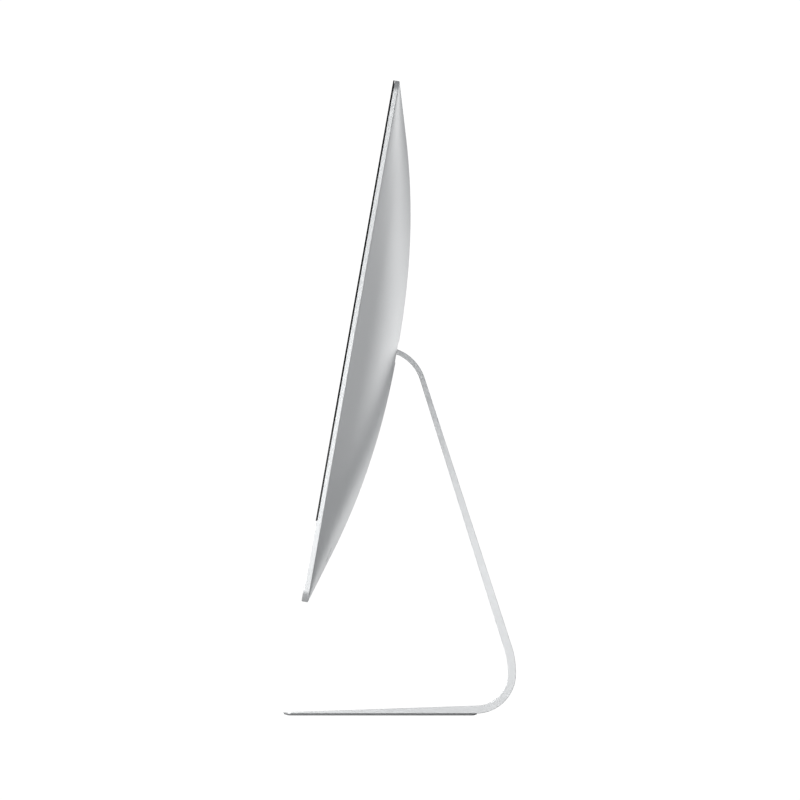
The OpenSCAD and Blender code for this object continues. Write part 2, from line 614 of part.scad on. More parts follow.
module stand() color([0.80, 0.81, 0.82]) difference() {
    rotate([90, 0, 90]) translate([0, 0, -stand_w / 2]) linear_extrude(stand_w) stand_profile();
    translate([0, outer_y - 110 * tan(rear_angle), 110]) rotate([-90 + 17.7, 0, 0]) translate([0, 0, -20])
        cylinder(h = 40, r = lead_hole_r);
    on_neck() for (x = barrel_at) translate([x, 9.6, -5]) cylinder(h = 20, r = 1.25);
    // Front corners of the foot cut off.
    mirrored() translate([stand_w / 2, -stand_d / 2, -5]) rotate([0, 0, 45]) cube([7, 7, 40], center = true);
}
// Thin pad whose front end follows the bevel under the tip.
module foot_pad() color([0.2, 0.2, 0.21]) intersection() {
    tip = -stand_d / 2;
    translate([1.5 - stand_w / 2, tip + 0.6, -1]) linear_extrude(5) round_rect(stand_w - 3, 54.6 - tip, 5);
    rotate([90, 0, 90]) translate([0, 0, -stand_w / 2]) linear_extrude(stand_w) polygon([
        [tip + 0.6, 0.95], [tip + 3.6, 0.15], [tip + 4.4, 0], [52.6, 0], [54.4, 0.4],
        [55.2, 0.9], [55.2, pad_t], [tip + 3.4, pad_t], [tip + 0.6, pad_t + 0.37]]);
}

rear_shell();
front_glass();
glass_bond();
lcd_cell();
backlight_unit();
camera_module();
microphones();
antenna_window();
antennas();
wireless_card();
logic_board();
processor();
graphics_chip();
memory_sockets();
memory_modules();
coin_cell();
heat_spreader();
heat_pipe();
fin_stack();
exhaust_duct();
fan_base();
fan_cover();
fan_stator();
fan_impeller();
fan_shaft();
supply_board();
supply_transformer();
supply_capacitors();
supply_tray();
power_inlet();
inlet_pins();
audio_jack();
card_slot();
wide_sockets();
small_sockets();
network_socket();
socket_tongues();
storage_drive();
drive_bumpers();
speaker_left();
speaker_right();
speaker_drivers();
power_button();
power_switch();
hinge_bracket_left();
hinge_bracket_right();
hinge_screws();
board_screws();
fan_screws();
display_cable();
supply_cable();
speaker_cables();
antenna_cables();
hinge_shaft();
friction_washers();
shaft_nuts();
hinge_barrel();
barrel_screws();
stand();
foot_pad();
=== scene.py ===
import json
import math
import bpy
import bmesh
import numpy as np
from mathutils import Matrix, Vector


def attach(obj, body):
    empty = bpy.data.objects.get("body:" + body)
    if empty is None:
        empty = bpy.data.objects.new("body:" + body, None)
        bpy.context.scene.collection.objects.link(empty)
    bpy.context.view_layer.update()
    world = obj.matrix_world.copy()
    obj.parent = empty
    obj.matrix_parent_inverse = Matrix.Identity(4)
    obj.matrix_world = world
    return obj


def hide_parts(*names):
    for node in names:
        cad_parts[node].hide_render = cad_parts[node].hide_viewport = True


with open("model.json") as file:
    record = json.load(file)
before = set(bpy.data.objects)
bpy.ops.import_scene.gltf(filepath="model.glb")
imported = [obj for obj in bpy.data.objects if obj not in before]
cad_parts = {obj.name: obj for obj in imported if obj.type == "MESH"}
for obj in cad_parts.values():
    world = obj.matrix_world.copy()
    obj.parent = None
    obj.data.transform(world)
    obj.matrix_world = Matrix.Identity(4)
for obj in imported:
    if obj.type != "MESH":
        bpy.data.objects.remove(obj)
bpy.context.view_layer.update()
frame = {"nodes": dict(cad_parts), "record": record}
NODES = frame["nodes"]
scene = bpy.context.scene
MM = 0.001

# ---------------------------------------------------------------- camera
VIEW_WIDTH = 0.570
VIEW_PLACE = (1.6, 0.00025, 0.2248)


def make_camera():
    """View without perspective, square to the user's right side of the object."""
    data = bpy.data.cameras.new("camera")
    camera = bpy.data.objects.new("camera", data)
    scene.collection.objects.link(camera)
    data.type = "ORTHO"
    data.ortho_scale = VIEW_WIDTH
    data.clip_end = 50.0
    camera.location = VIEW_PLACE
    camera.rotation_euler = (math.radians(90), 0, math.radians(90))
    scene.camera = camera
    scene.view_settings.view_transform = "Standard"


make_camera()

# ---------------------------------------------------------------- sizes in millimetres
# The panel has its own axes: x across, t back from the glass, s up from the lower edge.
PANEL_Y = -70.0
PANEL_Z = 81.4
PANEL_W = 528.0
PANEL_H = 377.0
LEAN = 10.0
CHIN_H = 58.0
EDGE_T = 4.5
BULGE = 32.0
CORNER_R = 8.0
MID_S = PANEL_H / 2

# The skin: straight tapers at the edges that run into a flattening curve.
TAPER_X = 28.0
TAPER_S = 38.0
POWER_X = 3.0
POWER_S = 1.2

# The housing's walls and the glass.
WALL = 1.6
RIM_W = 9.0
RIM_T = 1.35
CHIN_WALL = 2.6
LEDGE_H = 8.0
FLOOR_WALL = 6.0
GLASS_T = 1.1

# Depths and (x, s) places of the parts that the housing has posts, holes and openings for.
BOARD_TOP = 9.6
FAN_FRONT = 9.0
FAN_BACK = 20.5
FLANGE_FRONT = 24.5
FLANGE_BACK = 27.0
BOARD_AT = [(-208, 104), (-208, 284), (-110, 284), (-110, 140), (-196, 160),
            (113, 89), (113, 275), (201, 89), (201, 275)]
FAN_AT = [(-34, 75), (34, 75), (-34, 141), (34, 141)]
HINGE_AT = [(110, 172), (110, 208), (-110, 172), (-110, 208)]
ANTENNA_AT = [(-33, 285), (33, 285)]
BUTTON_AT = [(205, 36)]
WINDOW_AT = [(0, 285)]
INLET_AT = [(0, 55)]
AUDIO_AT = [(-206, 68)]

# Where cutters and posts end, past the skin and past the panel's edges.
POST_END = 60
CUT_END = 50
PAST_X = 300
PAST_S = 420

# Hinge axis, the neck's slot round it, and the vents: 5 on each side of the middle one.
HINGE_S = 190.0
HINGE_T = 20.3
SLOT_S = HINGE_S - 3.6
SLOT_H = 14.6
SLOT_W = 179.0
VENT_S = 166
VENT_H = 10
VENT_HALF = 2.2
VENT_PITCH = 6.4
VENTS_A_SIDE = 5
SLOT_T = 20

# The sockets' mouths: place across, half width, lowest and highest s, corner radius.
SOCKET_S = 62
SOCKETS = [(x, 3.3, SOCKET_S, SOCKET_S + 13.5, 0.6) for x in (-184, -172, -160, -148)]
SOCKETS += [(x, 2.9, SOCKET_S + 2, SOCKET_S + 10.5, 0.6) for x in (-137, -127)]
SOCKETS += [(-196, 1.9, SOCKET_S, SOCKET_S + 25, 0.5), (-112, 7.0, SOCKET_S, SOCKET_S + 14, 0.6)]
SOCKET_GAP = 0.15

# Rows of slots in the lower edge: the first one's place across, and how many.
LOWER_SLOTS = ((-180, 10), (-48, 9), (72, 10))
LOWER_PITCH = 12

PANEL = (Matrix.Translation((0, PANEL_Y * MM, PANEL_Z * MM))
         @ Matrix.Rotation(math.radians(-LEAN), 4, "X"))
PANEL_TURN = np.array(PANEL.to_3x3())
PANEL_SHIFT = np.array(PANEL.translation)


# ---------------------------------------------------------------- outlines
def rise(d, half, taper, power):
    """Height of the skin over its edge at the distance d in from that edge."""
    d = np.clip(d, 0, half)
    run = (half - taper) / (power + 1)
    slope = BULGE / (taper + run)
    u = np.clip((d - taper) / (half - taper), 0, 1)
    return np.where(d <= taper, slope * d, slope * (taper + run * (1 - (1 - u) ** (power + 1))))


def skin(x, s):
    """Depth of the outer skin at places on the panel."""
    f = rise(PANEL_W / 2 - np.abs(x), PANEL_W / 2, TAPER_X, POWER_X) / BULGE
    g = rise(PANEL_H / 2 - np.abs(s - MID_S), PANEL_H / 2, TAPER_S, POWER_S) / BULGE
    both = f + g - f * g
    return EDGE_T + np.where(f * g == 0, 0, BULGE * f * g / np.where(both == 0, 1, both))


def eased_side(a, b, steps):
    """Points from a towards b, closer together near both ends, without b itself."""
    shares = [0.5 - 0.5 * math.cos(math.pi * (i / steps)) for i in range(steps)]
    return [(a[0] + (b[0] - a[0]) * k, a[1] + (b[1] - a[1]) * k) for k in shares]


def corner_arc(x, s, radius, start, count, steps):
    """The first points of a quarter turn round a centre, from an angle in degrees."""
    turns = [math.radians(start + 90 * i / steps) for i in range(count)]
    return [(x + radius * math.cos(a), s + radius * math.sin(a)) for a in turns]


def outline(half_x, half_s, radius, mid_s=MID_S):
    """Rounded rectangle with fine steps, anticlockwise seen from the front, as (x, s) rows."""
    steps_x, steps_s, steps_corner = 96, 72, 10
    r = max(radius, 0.02)
    low = mid_s - half_s
    high = mid_s + half_s
    pts = eased_side((-half_x + r, low), (half_x - r, low), steps_x)
    pts += corner_arc(half_x - r, low + r, r, -90, steps_corner, steps_corner)
    pts += eased_side((half_x, low + r), (half_x, high - r), steps_s)
    pts += corner_arc(half_x - r, high - r, r, 0, steps_corner, steps_corner)
    pts += eased_side((half_x - r, high), (-half_x + r, high), steps_x)
    pts += corner_arc(-half_x + r, high - r, r, 90, steps_corner, steps_corner)
    pts += eased_side((-half_x, high - r), (-half_x, low + r), steps_s)
    pts += corner_arc(-half_x + r, low + r, r, 180, steps_corner, steps_corner)
    return np.array(pts)


def rounded(x0, x1, s0, s1, radius, steps=6):
    """Small rectangle with round corners, or with square ones if the radius is 0."""
    if radius == 0:
        return np.array([(x0, s0), (x1, s0), (x1, s1), (x0, s1)], float)
    r = min(radius, (x1 - x0) / 2 - 0.001, (s1 - s0) / 2 - 0.001)
    centres = ((x1 - r, s0 + r, -90), (x1 - r, s1 - r, 0), (x0 + r, s1 - r, 90), (x0 + r, s0 + r, 180))
    pts = []
    for x, s, start in centres:
        pts += corner_arc(x, s, r, start, steps + 1, steps)
    return np.array(pts)


def disc(x, s, radius, sides):
    """Circle of straight sides, as (x, s) rows."""
    a = np.linspace(0, 2 * math.pi, sides, endpoint=False)
    return np.column_stack([x + radius * np.cos(a), s + radius * np.sin(a)])


def lay(xy, t):
    """(x, s) rows at the depth t, which is one number or one for each row."""
    return np.column_stack([xy[:, 0], np.broadcast_to(t, len(xy)), xy[:, 1]])


# ---------------------------------------------------------------- solids
def mesh_object(name, verts, faces, in_panel=True, scale=MM):
    """Object from points in the panel's axes, or in the frame's own."""
    places = np.asarray(verts, float) * scale
    if in_panel:
        places = places @ PANEL_TURN.T + PANEL_SHIFT
    mesh = bpy.data.meshes.new(name)
    mesh.from_pydata(places.tolist(), [], [tuple(f) for f in faces])
    mesh.update()
    ob = bpy.data.objects.new(name, mesh)
    scene.collection.objects.link(ob)
    return ob


def outward(ob):
    """Turns every face's normal to the outside."""
    bm = bmesh.new()
    bm.from_mesh(ob.data)
    bmesh.ops.recalc_face_normals(bm, faces=bm.faces)
    bm.to_mesh(ob.data)
    bm.free()
    return ob


def bands(rings):
    """Points and side faces over a row of rings of equal length."""
    n = len(rings[0])
    verts = [tuple(p) for ring in rings for p in ring]
    faces = []
    for first in range(0, (len(rings) - 1) * n, n):
        for k in range(n):
            a = first + k
            b = first + (k + 1) % n
            faces.append((a, b, b + n, a + n))
    return verts, faces


def loft(rings, start=None, end=None):
    """Bands closed at each end by a pole, or by a flat face where none is given."""
    n = len(rings[0])
    last = (len(rings) - 1) * n
    verts, faces = bands(rings)
    if start is None:
        faces.append(tuple(range(n - 1, -1, -1)))
    else:
        verts.append(tuple(start))
        pole = len(verts) - 1
        faces += [(pole, (k + 1) % n, k) for k in range(n)]
    if end is None:
        faces.append(tuple(last + k for k in range(n)))
    else:
        verts.append(tuple(end))
        pole = len(verts) - 1
        faces += [(pole, last + k, last + (k + 1) % n) for k in range(n)]
    return verts, faces


def prism(xy, t0, t1):
    """Solid square to the panel over an (x, s) outline, between two depths."""
    return outward(mesh_object("prism", *loft([lay(xy, t0), lay(xy, t1)])))


def pegs(places, t0, t1, radius, sides):
    """Round prisms at (x, s) places."""
    return [prism(disc(x, s, radius, sides), t0, t1) for x, s in places]


def turned(profile, origin, direction, sides=96):
    """Closed solid of revolution in the frame's axes. The profile's rows are (radius, along)."""
    z = Vector(direction).normalized()
    x = z.orthogonal().normalized()
    y = z.cross(x)
    start = Vector(origin)
    angles = np.linspace(0, 2 * math.pi, sides, endpoint=False)
    rings = []
    for radius, along in profile:
        rings.append([tuple(start + x * (radius * math.cos(a)) + y * (radius * math.sin(a)) + z * along)
                      for a in angles])
    return outward(mesh_object("turned", *loft(rings), in_panel=False))


def join(obs):
    """One object from separate solids, which are removed."""
    bm = bmesh.new()
    for ob in obs:
        bm.from_mesh(ob.data)
        bpy.data.meshes.remove(ob.data)
    mesh = bpy.data.meshes.new("joined")
    bm.to_mesh(mesh)
    bm.free()
    ob = bpy.data.objects.new("joined", mesh)
    scene.collection.objects.link(ob)
    return ob


def carve(ob, cutters):
    """Takes the cutters away from the object and removes them."""
    cutter = join(cutters)
    boolean = ob.modifiers.new("carve", "BOOLEAN")
    boolean.operation = "DIFFERENCE"
    boolean.solver = "MANIFOLD"
    boolean.object = cutter
    depsgraph = bpy.context.evaluated_depsgraph_get()
    carved = bpy.data.meshes.new_from_object(ob.evaluated_get(depsgraph))
    ob.modifiers.clear()
    before = ob.data
    ob.data = carved
    bpy.data.meshes.remove(before)
    bpy.data.meshes.remove(cutter.data)


def soften(ob, angle):
    """Smooth shading with edges sharper than the angle kept crisp."""
    bm = bmesh.new()
    bm.from_mesh(ob.data)
    bmesh.ops.remove_doubles(bm, verts=bm.verts, dist=2e-6)
    bmesh.ops.dissolve_degenerate(bm, edges=bm.edges, dist=1e-7)
    limit = math.radians(angle)
    # Stands for the angle at an edge that hasn't two faces.
    no_angle = 2 * math.pi
    for face in bm.faces:
        face.smooth = True
    for edge in bm.edges:
        edge.smooth = len(edge.link_faces) == 2 and edge.calc_face_angle(no_angle) < limit
    bm.to_mesh(ob.data)
    bm.free()
    return ob


# ---------------------------------------------------------------- housing
def front_edge(inward, front, radius):
    """Rings round a dome's front edge, from the flat front out to the side."""
    rings = [lay(inward(radius + 0.12), front)]
    for angle in np.linspace(90, 0, 6):
        a = math.radians(angle)
        rings.append(lay(inward(radius * (1 - math.cos(a))), front + radius * (1 - math.sin(a))))
    rings.append(lay(inward(0), front + radius + 0.1))
    return rings


def back_edge(inward, depth, radius):
    """Rings round a dome's back edge, from the side to where the round meets the sloping skin."""
    edge = inward(0)
    inside = inward(radius)
    slope = (depth(inside) - depth(edge)) / radius
    stretch = np.sqrt(1 + slope * slope)
    centre = depth(edge) + slope * radius - radius * stretch
    full_turn = np.arccos(np.clip(slope / stretch, -1, 1))
    rings = [lay(edge, centre - 0.1)]
    for share in np.linspace(0, 1, 6):
        a = full_turn * share
        xy = edge + (inside - edge) * (1 - np.cos(a))[:, None]
        rings.append(lay(xy, centre + radius * np.sin(a)))
    return rings


def dome(name, half_x, half_s, mid_s, corner, front, inset, steps, front_r=0, back_r=0):
    """Closed solid between a flat front and the skin moved in by inset, with round edges if asked."""
    middle = np.array([0.0, mid_s])
    # Over this width the rings follow the outline, and inside it they shrink towards the middle.
    border = 7

    def inward(d):
        return outline(half_x - d, half_s - d, corner - d, mid_s)

    def depth(xy):
        return skin(xy[:, 0], xy[:, 1]) - inset

    def shrunk(share):
        return middle + (inward(border) - middle) * share

    rings = [lay(shrunk(share), front) for share in (0.12, 0.4, 0.7, 1.0)]
    rings += front_edge(inward, front, front_r) if front_r else [lay(inward(0), front)]
    rings += back_edge(inward, depth, back_r) if back_r else [lay(inward(0), depth(inward(0)))]
    on_skin = [inward(d) for d in ((1.5, 2.5, 4.0) if back_r else (1.5, 3.5))]
    on_skin += [shrunk(1 - i / steps) for i in range(steps)]
    rings += [lay(xy, depth(xy)) for xy in on_skin]
    top = float(depth(middle[None, :])[0])
    return outward(mesh_object(name, *loft(rings, (0, front, mid_s), (0, top, mid_s))))


def posts():
    """Places where the housing keeps solid posts inside its cavity."""
    out = pegs(BOARD_AT, BOARD_TOP, POST_END, radius=3.2, sides=24)
    out += pegs(FAN_AT, FAN_BACK, POST_END, radius=3.0, sides=24)
    out += pegs(HINGE_AT, FLANGE_BACK, POST_END, radius=4.5, sides=24)
    out += pegs(ANTENNA_AT, 22.0, POST_END, radius=3.5, sides=24)
    out += pegs(BUTTON_AT, 7.2, POST_END, radius=8.5, sides=48)
    return out


def post_holes():
    """Screw holes in the posts."""
    out = pegs(BOARD_AT, BOARD_TOP - 1, BOARD_TOP + 2.5, radius=1.26, sides=16)
    out += pegs(FAN_AT, FAN_FRONT, FAN_BACK + 2.1, radius=1.26, sides=16)
    out += pegs(HINGE_AT, FLANGE_FRONT, FLANGE_BACK + 2.7, radius=2.08, sides=16)
    return out


def rear_openings():
    """Neck slot, vents, antenna disc, mains inlet and sockets."""
    slot = rounded(-SLOT_W / 2, SLOT_W / 2, SLOT_S - SLOT_H / 2, SLOT_S + SLOT_H / 2, 3.0, 10)
    out = [prism(slot, SLOT_T, CUT_END)]
    for i in range(-VENTS_A_SIDE, VENTS_A_SIDE + 1):
        x = i * VENT_PITCH
        vent = rounded(x - VENT_HALF, x + VENT_HALF, VENT_S - VENT_H / 2, VENT_S + VENT_H / 2, 2.1)
        out.append(prism(vent, SLOT_T, CUT_END))
    out += pegs(WINDOW_AT, 10, CUT_END, radius=24.1, sides=96)
    out += pegs(INLET_AT, 10, CUT_END, radius=12.15, sides=72)
    g = SOCKET_GAP
    for x, half, low, high, corner in SOCKETS:
        out.append(prism(rounded(x - half - g, x + half + g, low - g, high + g, corner), BOARD_TOP, CUT_END))
    out += pegs(AUDIO_AT, BOARD_TOP, CUT_END, radius=3.6 + g, sides=48)
    return out


def lower_slots():
    """Sound and air slots in the lower edge."""
    out = []
    for first, count in LOWER_SLOTS:
        for i in range(count):
            x = first + LOWER_PITCH * i
            out.append(prism(rounded(x - 4, x + 4, -1, FLOOR_WALL + 1, 0), 2.9, 4.1))
    return out


def build_housing():
    """Chin, thin edge and domed skin in one piece, hollow, with its posts and openings."""
    housing = dome("housing", PANEL_W / 2, PANEL_H / 2, MID_S, CORNER_R, 0, 0, 56, front_r=0.45, back_r=0.5)
    carve(housing, [prism(rounded(-PAST_X, PAST_X, CHIN_H, PAST_S, 0), -2, RIM_T)])
    low = FLOOR_WALL
    high = PANEL_H - RIM_W
    cavity = dome("cavity", PANEL_W / 2 - RIM_W, (high - low) / 2, (high + low) / 2, 5.0, CHIN_WALL, WALL, 30)
    carve(cavity, posts())
    carve(housing, [cavity])
    view = rounded(RIM_W - PANEL_W / 2, PANEL_W / 2 - RIM_W, CHIN_H + LEDGE_H, high, 4)
    carve(housing, [prism(view, -1, CHIN_WALL + 1)])
    carve(housing, post_holes() + rear_openings() + lower_slots())
    carve(housing, pegs(BUTTON_AT, 5, CUT_END, radius=5.3, sides=64))
    return soften(housing, 28)


# ---------------------------------------------------------------- cover glass
def glass_ring(d):
    """Outline of the glass moved in by d: square below, round above."""
    low = CHIN_H + 0.1 + d
    pts = [(d - PANEL_W / 2, low), (PANEL_W / 2 - d, low)]
    for side, start in ((1, 0), (-1, 90)):
        x = side * (PANEL_W / 2 - CORNER_R)
        pts += corner_arc(x, PANEL_H - CORNER_R, CORNER_R - d, start, 13, 12)
    return np.array(pts)


def build_glass():
    """Cover glass with a rounded front edge and a fine bevel behind."""
    soft = 0.14
    moved_in = ((soft + 0.3, 0), (soft, 0), (soft * 0.3, soft * 0.3), (0, soft), (0, soft + 0.05),
                (0, 0.97), (0, 1.02), (0.08, GLASS_T), (0.3, GLASS_T))
    rings = [lay(glass_ring(d), t) for d, t in moved_in]
    return soften(outward(mesh_object("cover_glass", *loft(rings))), 50)


# ---------------------------------------------------------------- stand
# Its side outline is in (y, z) rows. The neck runs down and back from the hinge.
LEAN_SIN = math.sin(math.radians(LEAN))
LEAN_COS = math.cos(math.radians(LEAN))
HINGE = np.array([PANEL_Y + HINGE_S * LEAN_SIN + HINGE_T * LEAN_COS,
                  PANEL_Z + HINGE_S * LEAN_COS - HINGE_T * LEAN_SIN])
NECK_DROP = math.radians(21.4)
NECK_WAY = np.array([math.cos(NECK_DROP), -math.sin(NECK_DROP)])
NECK_UP = np.array([math.sin(NECK_DROP), math.cos(NECK_DROP)])
NECK_START = 6.5
NECK_END = 16.5
NECK_T = 3.6
NECK_R = 30.2
STAND_HALF = 88.0
# Where the upright's faces would meet the desk, and how far they lean back.
OUTER_Y = 96.02
OUTER_LEAN = math.radians(18)
INNER_Y = 89.33
INNER_LEAN = math.radians(17.4)
HEEL_TURN = math.radians(92)
# The foot: its underside, the line of its top, the start of the bevel and the tip.
FOOT_LOW = 1.4
FOOT_TOP = 5.12
FOOT_RISE = 0.0345
BEVEL_Y = -79.6
BEVEL_H = 0.45
TIP_Y = -83
TIP_R = 6
HOLE_Z = 110.0
HOLE_R = 18
HOLE_TILT = math.radians(17.7)
HOLE_DEPTH = 5.42
NECK_SCREWS = (-75, -45, -15, 15, 45, 75)


def straight(a, b, steps):
    """Points from a towards b, without b itself."""
    a = np.asarray(a)
    b = np.asarray(b)
    return [a + (b - a) * i / steps for i in range(steps)]


def bend(start, radius, a, b, steps):
    """Points round a bend whose face turns from a to b, and the place where it ends."""
    turns = [a + (b - a) * i / steps for i in range(steps + 1)]
    moved = [np.array([math.sin(h) - math.sin(a), math.cos(h) - math.cos(a)]) for h in turns]
    places = [start + radius * step for step in moved]
    return places[:-1], places[-1]


def neck_to_heel(side, desk_y, lean, heel_y, heel_r):
    """One face of the plate: neck, bend, upright and the heel's first, wider bend."""
    off = side * NECK_T / 2
    neck_end = HINGE + NECK_END * NECK_WAY + off * NECK_UP
    upright_turn = math.pi / 2 - lean
    heel = np.array([heel_y, (desk_y - heel_y) / math.tan(lean)])
    neck = straight(HINGE + NECK_START * NECK_WAY + off * NECK_UP, neck_end, 8)
    neck_bend, top = bend(neck_end, NECK_R + off, NECK_DROP, upright_turn, 24)
    heel_bend, end = bend(heel, heel_r, upright_turn, HEEL_TURN, 14)
    return neck + neck_bend + straight(top, heel, 30) + heel_bend, end


def foot_line(y):
    """Place on the foot's top."""
    return np.array((y, FOOT_TOP + FOOT_RISE * y))


def outer_face():
    """Back of the upright and underside of the foot, with the bevel under its tip."""
    pts, place = neck_to_heel(1, OUTER_Y, OUTER_LEAN, 79.96, 60)
    radius = (place[1] - FOOT_LOW) / (1 + math.cos(HEEL_TURN))
    heel, end = bend(place, radius, HEEL_TURN, math.pi, 40)
    bevel = np.array((BEVEL_Y, FOOT_LOW))
    tip = np.array((TIP_Y, FOOT_LOW + BEVEL_H))
    return pts + heel + straight(end, bevel, 30) + straight(bevel, tip, 4) + [tip]


def inner_face():
    """Front of the upright and top of the foot."""
    pts, place = neck_to_heel(-1, INNER_Y, INNER_LEAN, 74.63, 54)
    level = math.pi - math.atan(FOOT_RISE)
    forward = math.sin(level) - math.sin(HEEL_TURN)
    drop = math.cos(level) - math.cos(HEEL_TURN)
    radius = (foot_line(place[0])[1] - place[1]) / (drop - FOOT_RISE * forward)
    heel, end = bend(place, radius, HEEL_TURN, level, 40)
    bevel = foot_line(BEVEL_Y)
    tip = foot_line(TIP_Y)
    return pts + heel + straight(end, bevel, 30) + straight(bevel, tip, 4) + [tip]


def bent_plate():
    """The stand's plate with soft edges, before its holes are cut."""
    outer = np.array(outer_face())
    inner = np.array(inner_face())
    loop = np.vstack([outer, inner[::-1]])
    count = len(loop)
    way = np.roll(loop, -1, 0) - np.roll(loop, 1, 0)
    way /= np.linalg.norm(way, axis=1)[:, None]
    # The loop runs clockwise, so its inside is on the right.
    inside = np.column_stack([way[:, 1], -way[:, 0]])
    soft = np.minimum(0.25, np.linalg.norm(outer - inner, axis=1) * 0.2)
    soft = np.concatenate([soft, soft[::-1]])

    def ring(x, moved_in):
        return np.column_stack([np.broadcast_to(x, count), loop + inside * moved_in[:, None]])

    edge = [(STAND_HALF, soft + 0.12)]
    for k in range(5):
        a = math.radians(90 * k / 4)
        edge.append((STAND_HALF - soft * (1 - math.cos(a)), soft * (1 - math.sin(a))))
    rings = [ring(x, moved_in) for x, moved_in in edge]
    rings += [ring(x, 0 * soft) for x in (60, 40, 20, 0, -20, -40, -60)]
    rings += [ring(-x, moved_in) for x, moved_in in reversed(edge)]
    verts, faces = bands(rings)
    last = (len(rings) - 1) * count
    for a in range(len(outer) - 1):
        b = a + 1
        c = count - 1 - b
        d = count - 1 - a
        faces.append((a, b, c, d))
        faces.append((last + d, last + c, last + b, last + a))
    return outward(mesh_object("stand_plate", verts, faces, in_panel=False))


def cut_lead_hole(plate):
    """Round hole through the upright, with a fine bevel at both ends."""
    way = Vector((0, math.cos(HOLE_TILT), math.sin(HOLE_TILT)))
    back = Vector((0, OUTER_Y - HOLE_Z * math.tan(OUTER_LEAN), HOLE_Z))
    carve(plate, [turned([(HOLE_R, -20), (HOLE_R, 20)], back, way)])
    carve(plate, [turned([(HOLE_R - 0.4, -0.5), (HOLE_R + 0.9, 0.8)], back, way)])
    carve(plate, [turned([(HOLE_R + 0.9, -0.8), (HOLE_R - 0.4, 0.5)], back - way * HOLE_DEPTH, way)])


def cut_screw_holes(plate):
    """Holes for the screws that hold the neck on the hinge's barrel."""
    place = HINGE + 9.6 * NECK_WAY
    up = (0, NECK_UP[0], NECK_UP[1])
    carve(plate, [turned([(1.25, -6), (1.25, 6)], (x, place[0], place[1]), up, 24) for x in NECK_SCREWS])


def round_tip(plate):
    """Rounds the foot's two front corners."""
    cutters = []
    for side in (-1, 1):
        pts = []
        for i in range(13):
            a = math.radians(90 * i / 12)
            x = STAND_HALF - TIP_R + TIP_R * math.sin(a)
            pts.append((side * x, TIP_Y + TIP_R - TIP_R * math.cos(a)))
        pts.append((side * (STAND_HALF + 5), TIP_Y + TIP_R))
        pts.append((side * (STAND_HALF + 5), TIP_Y - 7))
        pts.append((side * (STAND_HALF - TIP_R), TIP_Y - 7))
        rings = [[(x, y, z) for x, y in pts] for z in (-3, 12)]
        cutters.append(outward(mesh_object("tip", *loft(rings), in_panel=False)))
    carve(plate, cutters)


def build_stand():
    """Bent plate with its lead hole, screw holes and rounded tip."""
    plate = bent_plate()
    cut_lead_hole(plate)
    cut_screw_holes(plate)
    round_tip(plate)
    return soften(plate, 35)


# ---------------------------------------------------------------- pad under the foot, whose front also stands in for the shade under the tip
# The front reaches past the real pad and up the tip's bevel: a dark piece that stands in for the shade under
# the tip.
SOLE_AND_TIP_SHADE_FRONT = -82.4
PAD_BACK = 55.1
PAD_TOP = 1.395
PAD_CORNER = 5
PAD_HALF = STAND_HALF - 1.5
# Heights along y of the pad's top, which follows the bevel under the tip so that the dark pad stands in for
# the shade there, and of its underside.
PAD_UPPER = ((SOLE_AND_TIP_SHADE_FRONT, 1.76), (BEVEL_Y, PAD_TOP), (PAD_BACK, PAD_TOP))
PAD_LOWER = ((SOLE_AND_TIP_SHADE_FRONT, 0.95), (-79.4, 0.15), (-78.6, 0.0), (52.6, 0.0), (PAD_BACK, 0.85))


def build_pad():
    """Pad with round corners and soft lower edges. Its front, up the tip's bevel, stands in for the shade
    under the tip.
    """

    def bow(d):
        """How far the side has come in at the distance d into a corner."""
        return PAD_CORNER - np.sqrt(PAD_CORNER ** 2 - np.clip(d, 0, PAD_CORNER) ** 2)

    front = np.linspace(SOLE_AND_TIP_SHADE_FRONT, -77, 10)
    back = np.linspace(50, PAD_BACK, 10)
    ys = np.concatenate([front, np.linspace(-70, 45, 12), back])
    halves = PAD_HALF - bow(SOLE_AND_TIP_SHADE_FRONT + PAD_CORNER - ys) - bow(ys - (PAD_BACK - PAD_CORNER))
    highs = np.interp(ys, *zip(*PAD_UPPER))
    lows = np.interp(ys, *zip(*PAD_LOWER))
    rings = []
    for y, half, low, high in zip(ys, halves, lows, highs):
        r = min(0.35, (high - low) * 0.4)
        section = [(-half, high), (-half, low + r), (-half + 0.3 * r, low + 0.3 * r), (-half + r, low)]
        section += [(k * half, low) for k in (-0.6, -0.2, 0.2, 0.6)]
        section += [(half - r, low), (half - 0.3 * r, low + 0.3 * r), (half, low + r), (half, high)]
        rings.append([(x, y, z) for x, z in section])
    return soften(outward(mesh_object("foot_sole_and_tip_shade", *loft(rings), in_panel=False)), 40)


shell = build_housing()
glass = build_glass()
stand = build_stand()
pad = build_pad()
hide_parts("rear_shell")
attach(shell, "display")
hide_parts("front_glass")
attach(glass, "display")
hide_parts("stand")
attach(stand, "stand")
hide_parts("foot_pad")
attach(pad, "stand")


# ---------------------------------------------------------------- shader helpers
def new_material(name):
    """Material with its node tree, its shader and a texture coordinate node."""
    material = bpy.data.materials.new(name)
    material.use_nodes = True
    tree = material.node_tree
    return material, tree, tree.nodes["Principled BSDF"], tree.nodes.new("ShaderNodeTexCoord")


def math_node(tree, operation, *values):
    """Math node over numbers and outputs of other nodes."""
    node = tree.nodes.new("ShaderNodeMath")
    node.operation = operation
    for k, value in enumerate(values):
        if isinstance(value, (int, float)):
            node.inputs[k].default_value = value
        else:
            tree.links.new(value, node.inputs[k])
    return node.outputs[0]


